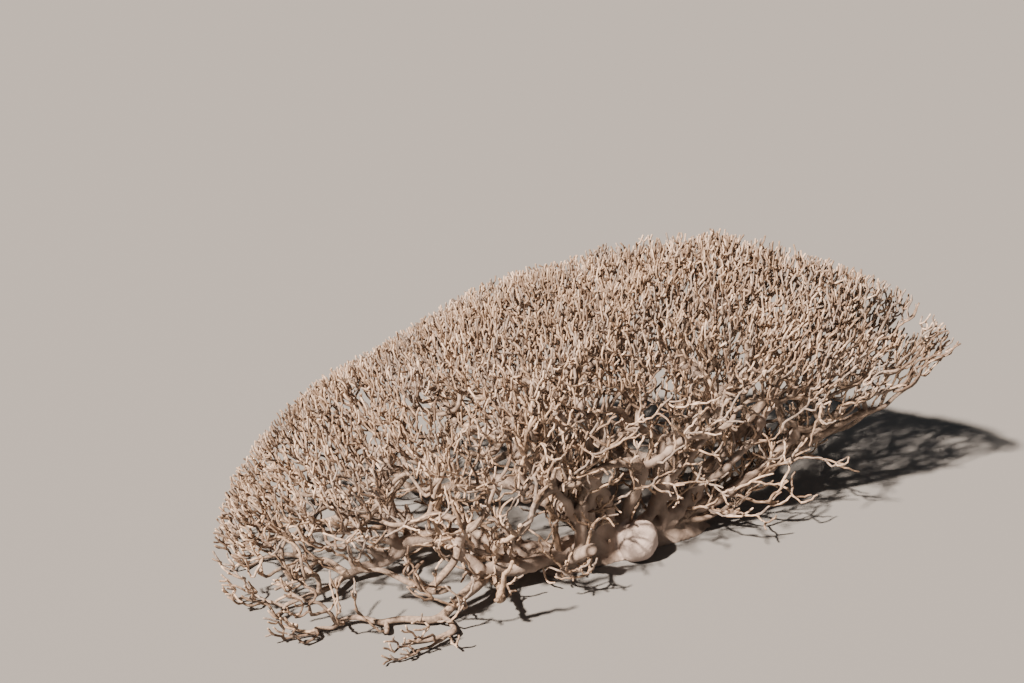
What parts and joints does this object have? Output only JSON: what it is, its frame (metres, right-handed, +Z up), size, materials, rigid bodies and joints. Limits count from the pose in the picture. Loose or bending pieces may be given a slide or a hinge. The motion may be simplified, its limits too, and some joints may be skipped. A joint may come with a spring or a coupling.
{
  "type": "balsam spurge shrub",
  "caption": "Leafless sprawling succulent shrub: a short lobed trunk with a swollen knob, low spreading boughs and a broad lopsided dome of upturned forking twigs.",
  "frame": {"origin": "on the ground, inside the trunk's flat cut", "axes": "+Z up, +X to the right and +Y away, seen from the side where the trunk shows"},
  "size_m": [2.2557, 1.6793, 0.8836],
  "materials": {
    "bark": "matt grey-pink bark, smooth with fine rings",
    "twigs": "matt cream-beige twigs, knobbly with ring scars"
  },
  "bodies": {
    "root": {"trunk": "bark", "bough_1": "bark", "bough_2": "bark", "bough_3": "bark", "bough_4": "bark", "bough_5": "bark", "bough_6": "bark", "bough_7": "bark", "bough_8": "bark", "bough_9": "bark", "bough_10": "bark", "side_bough_1": "bark", "side_bough_2": "bark", "side_bough_3": "bark", "side_bough_4": "bark", "side_bough_5": "bark", "side_bough_6": "bark", "side_bough_7": "bark", "side_bough_8": "bark", "side_bough_9": "bark", "side_bough_10": "bark", "twig_mass_1": "twigs", "twig_mass_2": "twigs", "twig_mass_3": "twigs", "twig_mass_4": "twigs", "twig_mass_5": "twigs", "twig_mass_6": "twigs", "twig_mass_7": "twigs", "twig_mass_8": "twigs", "twig_mass_9": "twigs", "twig_mass_10": "twigs", "twig_mass_11": "twigs", "twig_mass_12": "twigs", "twig_mass_13": "twigs", "twig_mass_14": "twigs", "twig_mass_15": "twigs", "twig_mass_16": "twigs", "twig_mass_17": "twigs", "twig_mass_18": "twigs", "twig_mass_19": "twigs", "twig_mass_20": "twigs"}
  },
  "joints": []
}
